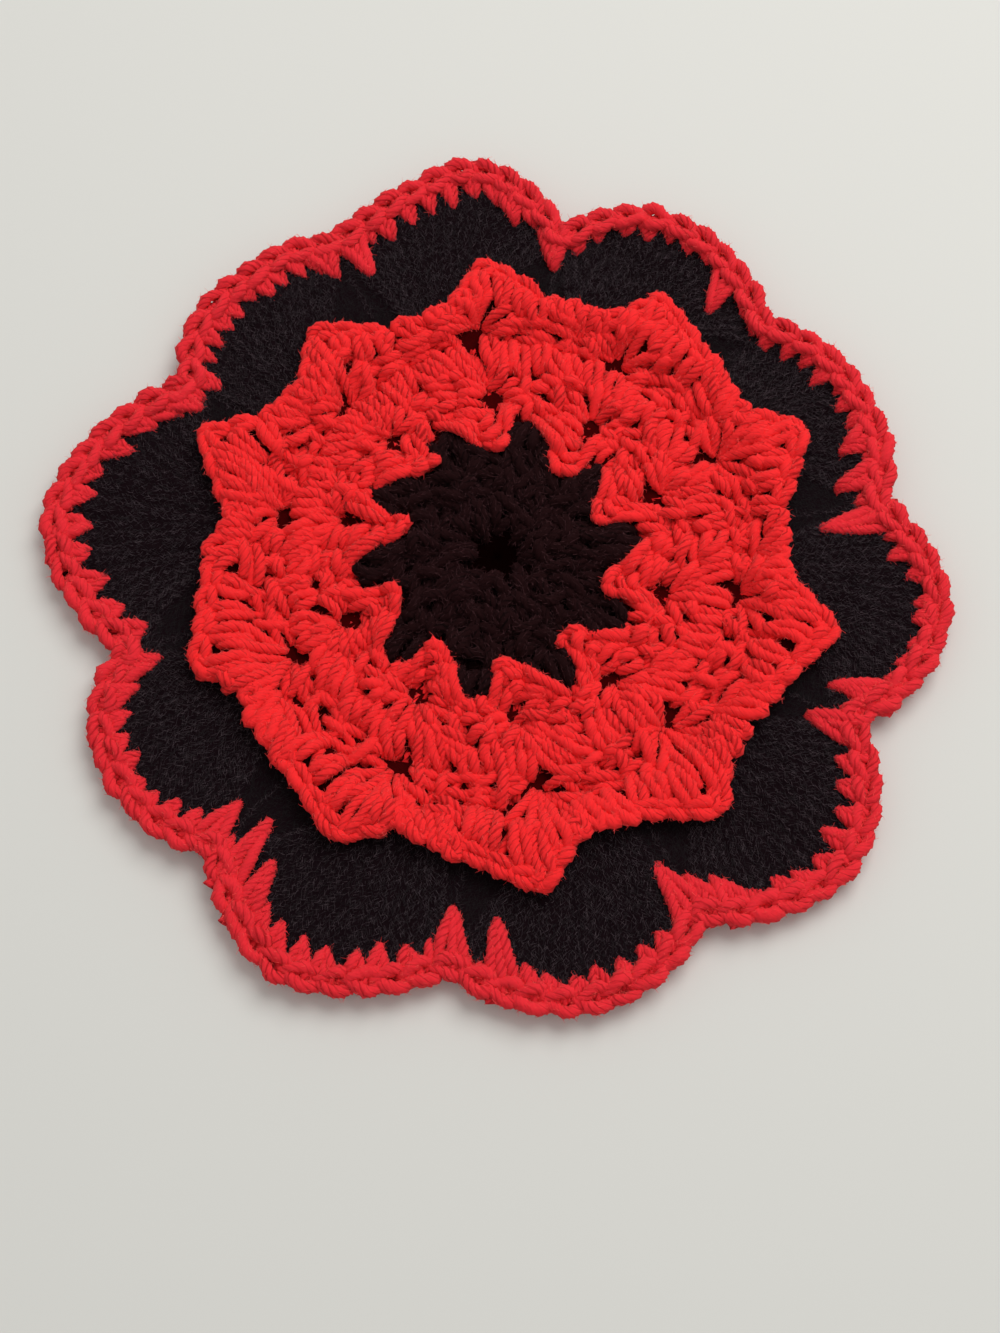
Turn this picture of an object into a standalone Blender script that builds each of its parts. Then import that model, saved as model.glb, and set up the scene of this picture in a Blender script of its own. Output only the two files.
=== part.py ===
"""Crocheted flower mat: a black centre, a red star, ten black petals and a red scalloped edging.

Metres, +Z up. The mat lies flat. Its origin is under the middle of its outline, at the height
of the surface that it lies on. Each band of yarn is one ring, and the star's tips lie on the petals.
"""
from collections import namedtuple
from math import cos, hypot, pi, radians, sin

import bpy

MM = 0.001

# Cloth. The tables below are in degrees and millimetres, counter-clockwise from +X, around the hole.
GAP = 0.3                   # clear space between neighbouring bands
SLANT_GAP = 0.45            # the same space, measured along a spoke that crosses a slanting edge
CENTRE_THICKNESS = 4.8
STAR_THICKNESS = 5.2
PETAL_THICKNESS = 4.3
EDGING_THICKNESS = 5.0
TIP_THICKNESS = 3.2         # the star's free tips, where they lie on the petals
RIM_THICKNESS = 1.6         # the star's rim in the valleys between its tips
HOLE_RADIUS = 1.6           # where the first round was drawn together
SHOULDER = 0.9              # height and width of the bevel along each band's upper edges
SEAM_INSET = 5.0            # how far the petals start inside the star's valleys, under its rim
TIP_RISE = 9.0              # how far inside the seam the star begins to climb over the petals
EDGING_WIDTH = 7.5          # along the middle of a petal
NOTCH_EDGING_WIDTH = 8.5    # at a notch between petals
LIFT_START = 74.0           # the petals lie flat inside this radius and may curl up outside it
SPOKE_STEP = 3.0            # widest angle between two cross-sections

# Outline: each petal's middle and reach, then the notch on its counter-clockwise side.
Petal = namedtuple("Petal", "angle reach lift notch_angle notch_reach notch_lift")
PETALS = (
    Petal(-7, 102.5, 1.5, 8, 90.0, 2.0),
    Petal(25, 94.5, 4.0, 42, 87.0, 4.5),
    Petal(61, 96.5, 4.5, 79, 84.5, 3.0),
    Petal(94, 102.5, 2.5, 116, 91.0, 2.0),
    Petal(130, 94.0, 2.5, 149, 85.0, 2.0),
    Petal(174, 103.5, 1.0, 196, 87.0, 1.0),
    Petal(211, 100.0, 0.5, 229, 94.0, 2.0),
    Petal(245, 108.0, 1.0, 264, 97.0, 0.5),
    Petal(282, 106.0, 0.5, 297, 96.0, 1.0),
    Petal(315, 107.0, 0.5, 333, 89.5, 1.0),
)

# Star: a sharp tip, the valley close after it, and the low shoulder from which the next slope climbs.
Point = namedtuple("Point", "tip_angle tip_reach valley_angle valley_reach shoulder_angle shoulder_reach")
STAR = (
    Point(-15, 78.5, -6, 65.5, 7, 65.5),
    Point(22.5, 77.5, 30, 67.5, 36, 67.5),
    Point(58, 76.0, 65, 65.5, 78, 65.0),
    Point(92, 74.5, 100, 62.5, 113, 60.5),
    Point(127.5, 71.0, 138, 60.5, 149, 63.0),
    Point(157, 74.5, 173, 61.0, 180, 64.5),
    Point(203, 73.0, 212, 65.0, 217, 67.5),
    Point(243, 76.5, 252, 68.5, 258, 70.0),
    Point(277, 80.0, 285, 69.5, 293, 68.0),
    Point(308, 79.5, 315.5, 70.0, 327, 69.5),
)

# Centre: its black points, with the feet of the red stitches between them.
Tooth = namedtuple("Tooth", "point_angle point_reach foot_angle foot_reach")
CENTRE = (
    Tooth(4, 33.0, 18, 24.0),
    Tooth(38, 32.5, 50, 24.5),
    Tooth(75.5, 34.0, 87, 26.0),
    Tooth(112, 32.5, 124, 25.0),
    Tooth(149, 32.5, 161, 20.0),
    Tooth(184, 33.0, 202, 24.0),
    Tooth(225, 35.0, 238, 25.0),
    Tooth(259, 37.5, 272, 26.5),
    Tooth(295, 36.0, 305, 25.0),
    Tooth(326, 34.5, 339, 26.0),
)

RED = (0.80, 0.022, 0.026)
BLACK = (0.012, 0.010, 0.011)
YARN_ROUGHNESS = 0.9


# ---- curves around the mat: each gives a radius or a height at an angle ----

def around(stops, angle):
    """The two stops on either side of an angle, with the angle's share of the way between them."""
    first = stops[0][0]
    angle = first + (angle - first) % 360
    closed = list(stops) + [(first + 360, *stops[0][1:])]
    for before, after in zip(closed, closed[1:]):
        if angle <= after[0]:
            return before, after, (angle - before[0]) / (after[0] - before[0])
    raise ValueError("no stop follows the angle")


def level(stops, angle):
    """A value that changes evenly with the angle between stops."""
    before, after, share = around(stops, angle)
    return before[1] + (after[1] - before[1]) * share


def straight(corners, angle):
    """The radius of an outline whose corners are joined by straight lines."""
    before, after, share = around(corners, angle)
    turn = radians(after[0] - before[0])
    from_before = sin(turn * share) * before[1]
    to_after = sin(turn * (1 - share)) * after[1]
    return before[1] * after[1] * sin(turn) / (from_before + to_after)


def bulge(angle):
    """0 at the notches and 1 at the middle of a petal, rounded in between."""
    stops = []
    for petal in PETALS:
        stops += [(petal.angle, 1.0), (petal.notch_angle, 0.0)]
    return 1 - (1 - level(stops, angle)) ** 1.8


def scallop(angle, reaches, notches):
    """A value that swells from the notches to the middle of each petal."""
    low = level(notches, angle)
    high = level(reaches, angle)
    return low + (high - low) * bulge(angle)


def outline(angle):
    reaches = [(petal.angle, petal.reach) for petal in PETALS]
    notches = [(petal.notch_angle, petal.notch_reach) for petal in PETALS]
    return scallop(angle, reaches, notches)


def edging_inside(angle):
    reaches = [(petal.angle, petal.reach - EDGING_WIDTH) for petal in PETALS]
    notches = [(petal.notch_angle, petal.notch_reach - NOTCH_EDGING_WIDTH) for petal in PETALS]
    return scallop(angle, reaches, notches)


def curl(angle, radius):
    """How far the underside stands off the surface."""
    lifts = [(petal.angle, petal.lift) for petal in PETALS]
    notch_lifts = [(petal.notch_angle, petal.notch_lift) for petal in PETALS]
    share = max(0.0, (radius - LIFT_START) / (outline(angle) - LIFT_START))
    return scallop(angle, lifts, notch_lifts) * share ** 1.6


def star_outline(angle):
    corners = []
    for point in STAR:
        corners += [(point.tip_angle, point.tip_reach), (point.valley_angle, point.valley_reach)]
        corners.append((point.shoulder_angle, point.shoulder_reach))
    return straight(corners, angle)


def seam(angle):
    """Where the petals start, under the star's rim."""
    return level([(point.valley_angle, point.valley_reach) for point in STAR], angle) - SEAM_INSET


def centre_outline(angle):
    corners = []
    for tooth in CENTRE:
        corners += [(tooth.point_angle, tooth.point_reach), (tooth.foot_angle, tooth.foot_reach)]
    return straight(corners, angle)


def spokes(corners):
    """The corners' angles, with more between them so that none is further than SPOKE_STEP from the next."""
    ordered = sorted(set(corner % 360 for corner in corners))
    angles = []
    for start, stop in zip(ordered, ordered[1:] + [ordered[0] + 360]):
        steps = max(1, round((stop - start) / SPOKE_STEP))
        angles += [start + (stop - start) * step / steps for step in range(steps)]
    return angles


# ---- cross-sections: points (radius, height), from the outer foot over the top to the inner foot ----

def centre_section(angle):
    outer = centre_outline(angle)
    middle = (outer + HOLE_RADIUS) / 2
    top = CENTRE_THICKNESS
    return [(outer, 0), (outer, top - SHOULDER), (outer - SHOULDER, top), (middle, top),
            (HOLE_RADIUS + SHOULDER, top), (HOLE_RADIUS, top - SHOULDER), (HOLE_RADIUS, 0), (middle, 0)]


def star_section(angle):
    inner = centre_outline(angle) + SLANT_GAP
    foot = seam(angle)
    rim = star_outline(angle)
    shelf = PETAL_THICKNESS + GAP
    overhang = min(1.0, (rim - foot) / TIP_RISE)
    top = shelf + RIM_THICKNESS + (TIP_THICKNESS - RIM_THICKNESS) * overhang
    middle = (inner + foot) / 2
    return [(foot, 0), (foot, shelf), (rim, shelf), (rim, top - SHOULDER), (rim - SHOULDER, top),
            (foot - TIP_RISE, STAR_THICKNESS), (middle - SHOULDER, STAR_THICKNESS),
            (inner + SHOULDER, STAR_THICKNESS), (inner, STAR_THICKNESS - SHOULDER), (inner, 0), (middle, 0)]


def petal_section(angle):
    inner = seam(angle) + SLANT_GAP
    outer = edging_inside(angle) - SLANT_GAP
    under_star = max(LIFT_START, star_outline(angle) + SHOULDER)
    middle = (under_star + outer) / 2
    rise_middle = curl(angle, middle)
    rise = curl(angle, outer)
    top = PETAL_THICKNESS
    return [(outer, rise), (outer, rise + top), (middle, rise_middle + top), (LIFT_START, top),
            (inner, top), (inner, 0), (LIFT_START, 0), (middle, rise_middle)]


def edging_section(angle):
    inner = edging_inside(angle)
    outer = outline(angle)
    middle = (inner + outer) / 2
    rise_in, rise_middle, rise_out = curl(angle, inner), curl(angle, middle), curl(angle, outer)
    top = EDGING_THICKNESS
    return [(outer, rise_out + SHOULDER), (outer, rise_out + top - SHOULDER),
            (outer - SHOULDER, rise_out + top), (middle, rise_middle + top),
            (inner + SHOULDER, rise_in + top), (inner, rise_in + top - SHOULDER),
            (inner, rise_in), (middle, rise_middle), (outer - SHOULDER, rise_out)]


# ---- solids ----

def yarn(name, colour):
    material = bpy.data.materials.new(name)
    material.use_nodes = True
    shader = material.node_tree.nodes["Principled BSDF"]
    shader.inputs["Base Color"].default_value = (*colour, 1)
    shader.inputs["Roughness"].default_value = YARN_ROUGHNESS
    shader.inputs["Metallic"].default_value = 0
    return material


def middle_of_outline():
    """The middle of the outline's box, seen from the hole, in millimetres."""
    around_edge = [(outline(angle), radians(angle)) for angle in edge_spokes()]
    xs = [radius * cos(turn) for radius, turn in around_edge]
    ys = [radius * sin(turn) for radius, turn in around_edge]
    return (min(xs) + max(xs)) / 2, (min(ys) + max(ys)) / 2


def edge_spokes():
    return spokes([petal.angle for petal in PETALS] + [petal.notch_angle for petal in PETALS])


def ring(name, angles, section, material, collection):
    """A torus whose cross-sections are laid out anew, one on each spoke."""
    points = len(section(angles[0]))
    bpy.ops.mesh.primitive_torus_add(major_segments=len(angles), minor_segments=points)
    solid = bpy.context.object
    solid.name = name
    solid.data.name = name
    shift_x, shift_y = middle_of_outline()
    for spoke, angle in enumerate(angles):
        turn = radians(angle)
        for corner, (radius, height) in enumerate(section(angle)):
            vertex = solid.data.vertices[spoke * points + corner]
            place = (radius * cos(turn) - shift_x, radius * sin(turn) - shift_y, height)
            vertex.co = [value * MM for value in place]
    solid.data.shade_smooth()
    solid.data.set_sharp_from_angle(angle=pi / 6)
    solid.data.materials.append(material)
    for owner in solid.users_collection:
        owner.objects.unlink(solid)
    collection.objects.link(solid)


def main():
    for old in list(bpy.data.objects):
        bpy.data.objects.remove(old)
    flower = bpy.data.collections.new("crochet_flower_mat")
    bpy.context.scene.collection.children.link(flower)
    black = yarn("black_yarn", BLACK)
    red = yarn("red_yarn", RED)

    teeth = [tooth.point_angle for tooth in CENTRE] + [tooth.foot_angle for tooth in CENTRE]
    valleys = [point.valley_angle for point in STAR]
    tips = [point.tip_angle for point in STAR] + [point.shoulder_angle for point in STAR]
    lobes = [petal.angle for petal in PETALS] + [petal.notch_angle for petal in PETALS]

    ring("centre_round", spokes(teeth), centre_section, black, flower)
    ring("star_round", spokes(teeth + valleys + tips), star_section, red, flower)
    ring("petal_round", spokes(lobes), petal_section, black, flower)
    ring("edging_round", edge_spokes(), edging_section, red, flower)


main()
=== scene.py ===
from collections import namedtuple
from math import cos, hypot, pi, radians, sin, sqrt

import bpy
import numpy as np
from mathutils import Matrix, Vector, noise


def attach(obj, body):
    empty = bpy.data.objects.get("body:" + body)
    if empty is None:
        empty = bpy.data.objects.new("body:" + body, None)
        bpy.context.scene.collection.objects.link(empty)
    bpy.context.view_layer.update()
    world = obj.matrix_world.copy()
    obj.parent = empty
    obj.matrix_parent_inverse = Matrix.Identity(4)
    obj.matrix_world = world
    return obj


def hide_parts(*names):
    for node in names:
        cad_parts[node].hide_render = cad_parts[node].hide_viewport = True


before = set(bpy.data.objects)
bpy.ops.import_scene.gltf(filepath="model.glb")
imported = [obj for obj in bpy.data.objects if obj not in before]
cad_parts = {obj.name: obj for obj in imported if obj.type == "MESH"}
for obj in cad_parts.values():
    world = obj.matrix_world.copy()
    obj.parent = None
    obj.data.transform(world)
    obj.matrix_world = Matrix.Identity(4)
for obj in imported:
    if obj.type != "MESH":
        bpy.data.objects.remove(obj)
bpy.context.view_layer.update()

MM = 0.001
RANDOM = np.random.default_rng(7)

# ------------ the mat's own sizes, as in the solids

PETAL_THICKNESS = 4.3
SEAM_INSET = 5.0            # how far the petals start inside the star's valleys, under its rim
EDGING_WIDTH = 7.5          # along the middle of a petal
NOTCH_EDGING_WIDTH = 8.5    # at a notch between petals
LIFT_START = 74.0           # the petals lie flat inside this radius
BULGE_POWER = 1.8           # higher is a petal with a blunter end
LIFT_POWER = 1.6            # higher keeps the curl nearer to the petal's edge
CLIMB_START = 6.0           # the star starts to climb this far inside the seam
CLIMB_LENGTH = 10.0
CLIMB_HEIGHT = PETAL_THICKNESS - 0.6

# Outline: each petal's middle and reach, then the notch on its counter-clockwise side.
Petal = namedtuple("Petal", "angle reach lift notch_angle notch_reach notch_lift")
PETALS = (
    Petal(-7, 102.5, 1.5, 8, 90.0, 2.0),
    Petal(25, 94.5, 4.0, 42, 87.0, 4.5),
    Petal(61, 96.5, 4.5, 79, 84.5, 3.0),
    Petal(94, 102.5, 2.5, 116, 91.0, 2.0),
    Petal(130, 94.0, 2.5, 149, 85.0, 2.0),
    Petal(174, 103.5, 1.0, 196, 87.0, 1.0),
    Petal(211, 100.0, 0.5, 229, 94.0, 2.0),
    Petal(245, 108.0, 1.0, 264, 97.0, 0.5),
    Petal(282, 106.0, 0.5, 297, 96.0, 1.0),
    Petal(315, 107.0, 0.5, 333, 89.5, 1.0),
)

# Star: a sharp tip, the valley close after it, and the low shoulder from which the next slope climbs.
Point = namedtuple("Point", "tip_angle tip_reach valley_angle valley_reach shoulder_angle shoulder_reach")
STAR = (
    Point(-15, 78.5, -6, 65.5, 7, 65.5),
    Point(22.5, 77.5, 30, 67.5, 36, 67.5),
    Point(58, 76.0, 65, 65.5, 78, 65.0),
    Point(92, 74.5, 100, 62.5, 113, 60.5),
    Point(127.5, 71.0, 138, 60.5, 149, 63.0),
    Point(157, 74.5, 173, 61.0, 180, 64.5),
    Point(203, 73.0, 212, 65.0, 217, 67.5),
    Point(243, 76.5, 252, 68.5, 258, 70.0),
    Point(277, 80.0, 285, 69.5, 293, 68.0),
    Point(308, 79.5, 315.5, 70.0, 327, 69.5),
)

# Centre: its black points, with the feet of the red stitches between them.
Tooth = namedtuple("Tooth", "point_angle point_reach foot_angle foot_reach")
CENTRE = (
    Tooth(4, 33.0, 18, 24.0),
    Tooth(38, 32.5, 50, 24.5),
    Tooth(75.5, 34.0, 87, 26.0),
    Tooth(112, 32.5, 124, 25.0),
    Tooth(149, 32.5, 161, 20.0),
    Tooth(184, 33.0, 202, 24.0),
    Tooth(225, 35.0, 238, 25.0),
    Tooth(259, 37.5, 272, 26.5),
    Tooth(295, 36.0, 305, 25.0),
    Tooth(326, 34.5, 339, 26.0),
)

# Shells: the holes that each line of fans springs from, on the inner and the outer round of shells.
# A shell stands on the foot of the tooth before it in the table above.
Shell = namedtuple("Shell", "inner_angle inner_reach outer_angle outer_reach")
SHELLS = (
    Shell(-14, 37.5, -10, 53.5),
    Shell(22, 38.0, 26, 53.0),
    Shell(55, 38.0, 60, 54.0),
    Shell(91, 39.0, 95, 55.0),
    Shell(130, 36.0, 134, 49.0),
    Shell(165, 34.0, 169, 48.0),
    Shell(206, 36.0, 209, 49.5),
    Shell(243, 37.0, 247, 53.0),
    Shell(276, 38.0, 280, 52.5),
    Shell(310, 38.0, 314, 53.0),
)

# ------------ yarn

YARN_RADIUS = 1.42
PLIES = 4
PLY_PITCH = 7.6             # length of yarn in which a ply goes once round
PLY_RELIEF = 0.075          # height of a ply's crest, as a share of the yarn's radius
RING_STEP = 0.85            # length of yarn between two rings of a tube
SIDES = 2 * PLIES           # a crest and a groove for each ply
ROUGHNESS = 0.03            # unevenness of a strand's surface, as a share of its radius
SWELL = 0.05                # the same of its girth, along a strand and between strands
SWELL_RATE = 0.9            # radians for each millimetre
STREAK_OFFSET = 40.0        # sets the streaks of one strand apart from the next one's
TONE_SPREAD = 0.12          # difference in tone between strands
STREAK_STRETCH = 0.25       # scale of the fibre streaks along the strand, next to 1 across it
FUZZ_PER_MM = 4.5           # stray fibres that stand off a strand
FUZZ_LENGTH = 1.3
FUZZ_WIDTH = 0.08
FUZZ_LEAN = 0.6             # how far a stray fibre stands off, next to how far it runs along the strand
FUZZ_SPREAD = 0.35          # unevenness of its direction
FUZZ_LOWEST = -0.3          # no fibre starts further below the middle of its strand
FIBRE_TAPER = 0.3           # width of a fibre's tip, as a share of its root's
NAP_LENGTH = 1.6            # fibres that lie on the black rounds
NAP_LOOSENESS = 0.80        # how far they stray from the direction of the stitches
NAP_CREST = 0.5             # how much higher they lie on top of the stitches than between them
NAP_SHADE = 0.05            # painted shade: how pale they are between the stitches, to which up to 1 is added on top
WOBBLE = 0.2                # unevenness of a strand's path

CURVE_STEPS = 6             # parts of a curve between two of its points, before it gets even steps

FRONT = 3.1                 # heights of strands above the cloth's underside, on its two sides
BACK = 0.9
BACK_RADIUS = 1.15
BACK_STEP = 1.6             # rings of the underside's posts are further apart by this factor
UNDER_BRAID_STEP = 1.8      # and those of its braid by this one
EVEN = (1.0, 1.0)           # thickness of a strand's two ends where it isn't pulled thin there
RESTING = 0.05              # the lowest strands are pressed flat just above the surface


# ------------ curves around the mat

def around(stops, angle):
    """The two stops on either side of an angle, with the angle's share of the way between them."""
    first = stops[0][0]
    angle = first + (angle - first) % 360
    closed = list(stops) + [(first + 360, *stops[0][1:])]
    for before, after in zip(closed, closed[1:]):
        if angle <= after[0]:
            return before, after, (angle - before[0]) / (after[0] - before[0])
    raise ValueError("no stop follows the angle")


def level(stops, angle):
    """A value that changes evenly with the angle between stops."""
    before, after, share = around(stops, angle)
    return before[1] + (after[1] - before[1]) * share


def straight(corners, angle):
    """The radius of an outline whose corners are joined by straight lines."""
    before, after, share = around(corners, angle)
    turn = radians(after[0] - before[0])
    from_before = sin(turn * share) * before[1]
    to_after = sin(turn * (1 - share)) * after[1]
    return before[1] * after[1] * sin(turn) / (from_before + to_after)


BULGE_STOPS = [stop for petal in PETALS for stop in ((petal.angle, 1.0), (petal.notch_angle, 0.0))]


def bulge(angle):
    """0 at the notches and 1 at the middle of a petal, rounded in between."""
    return 1 - (1 - level(BULGE_STOPS, angle)) ** BULGE_POWER


def scallop(angle, reaches, notches):
    """A value that swells from the notches to the middle of each petal."""
    low = level(notches, angle)
    high = level(reaches, angle)
    return low + (high - low) * bulge(angle)


def outline(angle, inset=0.0, notch_inset=0.0):
    """The radius of the mat's outline, or of a line that runs inside it."""
    reaches = [(petal.angle, petal.reach - inset) for petal in PETALS]
    notches = [(petal.notch_angle, petal.notch_reach - notch_inset) for petal in PETALS]
    return scallop(angle, reaches, notches)


def curl(angle, radius):
    """How far the cloth's underside stands off the surface."""
    lifts = [(petal.angle, petal.lift) for petal in PETALS]
    notch_lifts = [(petal.notch_angle, petal.notch_lift) for petal in PETALS]
    share = max(0.0, (radius - LIFT_START) / (outline(angle) - LIFT_START))
    return scallop(angle, lifts, notch_lifts) * share ** LIFT_POWER


STAR_CORNERS = [stop for point in STAR for stop in (
    (point.tip_angle, point.tip_reach),
    (point.valley_angle, point.valley_reach),
    (point.shoulder_angle, point.shoulder_reach),
)]
CENTRE_CORNERS = [stop for tooth in CENTRE for stop in (
    (tooth.point_angle, tooth.point_reach), (tooth.foot_angle, tooth.foot_reach))]
SEAM_STOPS = [(point.valley_angle, point.valley_reach - SEAM_INSET) for point in STAR]


def seam(angle):
    """Where the petals start, under the star's rim."""
    return level(SEAM_STOPS, angle)


def star_rise(angle, radius):
    """Height of the star's underside: it climbs over the petals outside the seam."""
    share = min(1.0, max(0.0, (radius - seam(angle) + CLIMB_START) / CLIMB_LENGTH))
    return CLIMB_HEIGHT * share * share * (3 - 2 * share)


def middle_of_outline():
    """The middle of the outline's box, seen from the hole, in millimetres."""
    turns = np.radians(np.arange(0, 360, 0.5))
    reaches = np.array([outline(angle) for angle in np.degrees(turns)])
    xs, ys = reaches * np.cos(turns), reaches * np.sin(turns)
    return (xs.min() + xs.max()) / 2, (ys.min() + ys.max()) / 2


HOLE_X, HOLE_Y = (-value for value in middle_of_outline())


def turned(angle):
    """The same angle between -180 and 180 degrees."""
    return (angle + 180) % 360 - 180


def spot(angle, radius):
    """A place on the cloth, seen from the hole, in millimetres."""
    return np.array([radius * cos(radians(angle)), radius * sin(radians(angle))])


def polar(place):
    """The angle and radius of a place."""
    return np.degrees(np.arctan2(place[1], place[0])) % 360, hypot(place[0], place[1])


def lumps(place, scale, layer):
    """Smooth unevenness over the mat, from about -1 to 1. A higher scale makes smaller lumps."""
    return noise.noise(Vector((place[0] * scale, place[1] * scale, layer)))


# ------------ strands of yarn

class Strands:
    """Tubes of plied yarn that are gathered into one mesh."""

    def __init__(self, step=RING_STEP, fuzz_per_mm=FUZZ_PER_MM):
        self.fuzz_per_mm = fuzz_per_mm
        self.places, self.plies, self.fibres, self.faces, self.stray = [], [], [], [], []
        self.step = step
        self.count = 0

    def lay(self, points, radius=YARN_RADIUS, squeeze=(0.8, 0.8), ramp=4.0, step=None, fuzz=True):
        """Lays one strand through the points. squeeze thins its two ends, each over the length of ramp."""
        path = smooth(np.asarray(points, float), step or self.step)
        rings = len(path)
        lengths = lengths_along(path)
        total = lengths[-1]
        across, over = frames(path)
        phase = RANDOM.uniform(0, 2 * pi)
        near = squeeze[0] + (1 - squeeze[0]) * np.clip(lengths / ramp, 0, 1)
        far = squeeze[1] + (1 - squeeze[1]) * np.clip((total - lengths) / ramp, 0, 1)
        girth = radius * np.minimum(near, far) * (1 + SWELL * np.sin(lengths * SWELL_RATE + phase))
        girth = girth * RANDOM.normal(1, SWELL)
        corners = np.arange(SIDES) * 2 * pi / SIDES
        relief = 1 + PLY_RELIEF * np.cos(PLIES * corners)
        turn = corners[None, :] + phase + 2 * pi * lengths[:, None] / PLY_PITCH
        spread = girth[:, None] * relief[None, :] * RANDOM.normal(1, ROUGHNESS, (rings, SIDES))
        ring = (path[:, None, :] + (spread * np.cos(turn))[..., None] * across[:, None, :]
                + (spread * np.sin(turn))[..., None] * over[:, None, :])
        fibre = np.stack(np.broadcast_arrays(
            spread * np.cos(corners)[None, :], spread * np.sin(corners)[None, :],
            (lengths * STREAK_STRETCH)[:, None] + phase * STREAK_OFFSET), axis=-1)
        self.places.append(ring.reshape(-1, 3))
        # ply is 1 on a ply's crest and 0 in a groove, where the material paints shade, plus each strand's own
        # tone
        self.plies.append(np.tile((1 + np.cos(PLIES * corners)) / 2, rings) + RANDOM.normal(0, TONE_SPREAD))
        self.fibres.append(fibre.reshape(-1, 3))
        start = self.count + np.arange(rings - 1)[:, None] * SIDES
        here = start + np.arange(SIDES)[None, :]
        there = start + (np.arange(SIDES)[None, :] + 1) % SIDES
        self.faces.append(np.stack([here, there, there + SIDES, here + SIDES], axis=-1).reshape(-1, 4))
        last = self.count + (rings - 1) * SIDES
        # Three quads close each end of the tube.
        for quad in ((0, 3, 2, 1), (0, 7, 4, 3), (7, 6, 5, 4)):
            self.faces.append(np.array([[self.count + corner for corner in quad]]))
            self.faces.append(np.array([[last + corner for corner in reversed(quad)]]))
        self.count += rings * SIDES
        if fuzz:
            self.fuzz(ring, path, int(total * self.fuzz_per_mm))

    def fuzz(self, ring, path, count):
        """Stray fibres that lean away from the strand's upper side, each a sliver with four corners."""
        rows = RANDOM.integers(1, len(path) - 1, count)
        roots = ring[rows, RANDOM.integers(0, SIDES, count)]
        away = roots - path[rows]
        upper = away[:, 2] > FUZZ_LOWEST
        roots, away, rows = roots[upper], away[upper], rows[upper]
        if not len(roots):
            return
        away = away / np.linalg.norm(away, axis=1)[:, None]
        along = (path[rows + 1] - path[rows - 1]) * RANDOM.choice([-1, 1], len(rows))[:, None]
        lean = away * FUZZ_LEAN + along * RANDOM.uniform(0.2, 1.0, len(rows))[:, None]
        lean = lean + RANDOM.normal(0, FUZZ_SPREAD, roots.shape)
        self.fibres_from(roots, lean, FUZZ_LENGTH, RANDOM.uniform(0, 1, len(roots)))

    def fibres_from(self, roots, lean, length, tones):
        """Single fibres, each a sliver with four corners and a tone from 0, dark, to 1, pale."""
        count = len(roots)
        lean = lean / np.linalg.norm(lean, axis=1)[:, None]
        side = np.cross(lean, np.array([0.0, 0.0, 1.0]))
        side = side / (np.linalg.norm(side, axis=1)[:, None] + 1e-6) * FUZZ_WIDTH / 2
        tips = roots + lean * RANDOM.uniform(0.4, 1.0, count)[:, None] * length
        corners = np.stack([roots - side, roots + side, tips + side * FIBRE_TAPER, tips - side * FIBRE_TAPER],
                           axis=1)
        self.places.append(corners.reshape(-1, 3))
        self.plies.append(np.repeat(tones, 4))
        self.fibres.append(np.zeros((count * 4, 3)))
        self.stray.append(len(self.faces))
        self.faces.append(self.count + np.arange(count * 4).reshape(-1, 4))
        self.count += count * 4

    def nap(self, sheet, count, loft=0.0, palest=1.0, fans=None):
        """Fibres that lie on a sheet, whose places are given as a grid of spokes and rows.

        They lie every way or, where fans are given, mostly along the stitches: paler on top of them and
        darker between them, as painted light and shade. The fans are a grid too: the direction of the
        stitches, and the number of strands across the petal.
        """
        spokes, rows = sheet.shape[0] - 1, sheet.shape[1] - 1
        inner, outer = (np.linalg.norm(sheet[:, row, :2], axis=1).mean() for row in (0, -1))
        radius = np.sqrt(RANDOM.uniform(inner ** 2, outer ** 2, count))
        spoke, row = RANDOM.uniform(0, spokes, count), (radius - inner) / (outer - inner) * rows
        first, low = spoke.astype(int), np.minimum(row.astype(int), rows - 1)
        on, up = (spoke - first)[:, None], (row - low)[:, None]

        def at(grid):
            near = grid[first, low] * (1 - up) + grid[first, low + 1] * up
            far = grid[first + 1, low] * (1 - up) + grid[first + 1, low + 1] * up
            return near * (1 - on) + far * on

        roots = at(sheet)
        roots[:, 2] += RANDOM.uniform(0, loft, count)
        turn = RANDOM.uniform(0, 2 * pi, count)
        lean = np.stack([np.cos(turn), np.sin(turn), RANDOM.uniform(0.0, 0.4, count)], axis=1)
        tones = RANDOM.uniform(0, palest, count)
        if fans is not None:
            fan = at(fans)
            lean[:, :2] = lean[:, :2] * NAP_LOOSENESS + fan[:, :2] * RANDOM.choice([-1, 1], count)[:, None]
            crest = np.abs(np.sin(pi * fan[:, 2]))
            roots[:, 2] += NAP_CREST * crest
            # Painted light and shade: fibres between the stitches are darkened, and those on top of them stay
            # paler.
            tones *= NAP_SHADE + crest
        self.fibres_from(roots, lean, NAP_LENGTH, tones)

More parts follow.
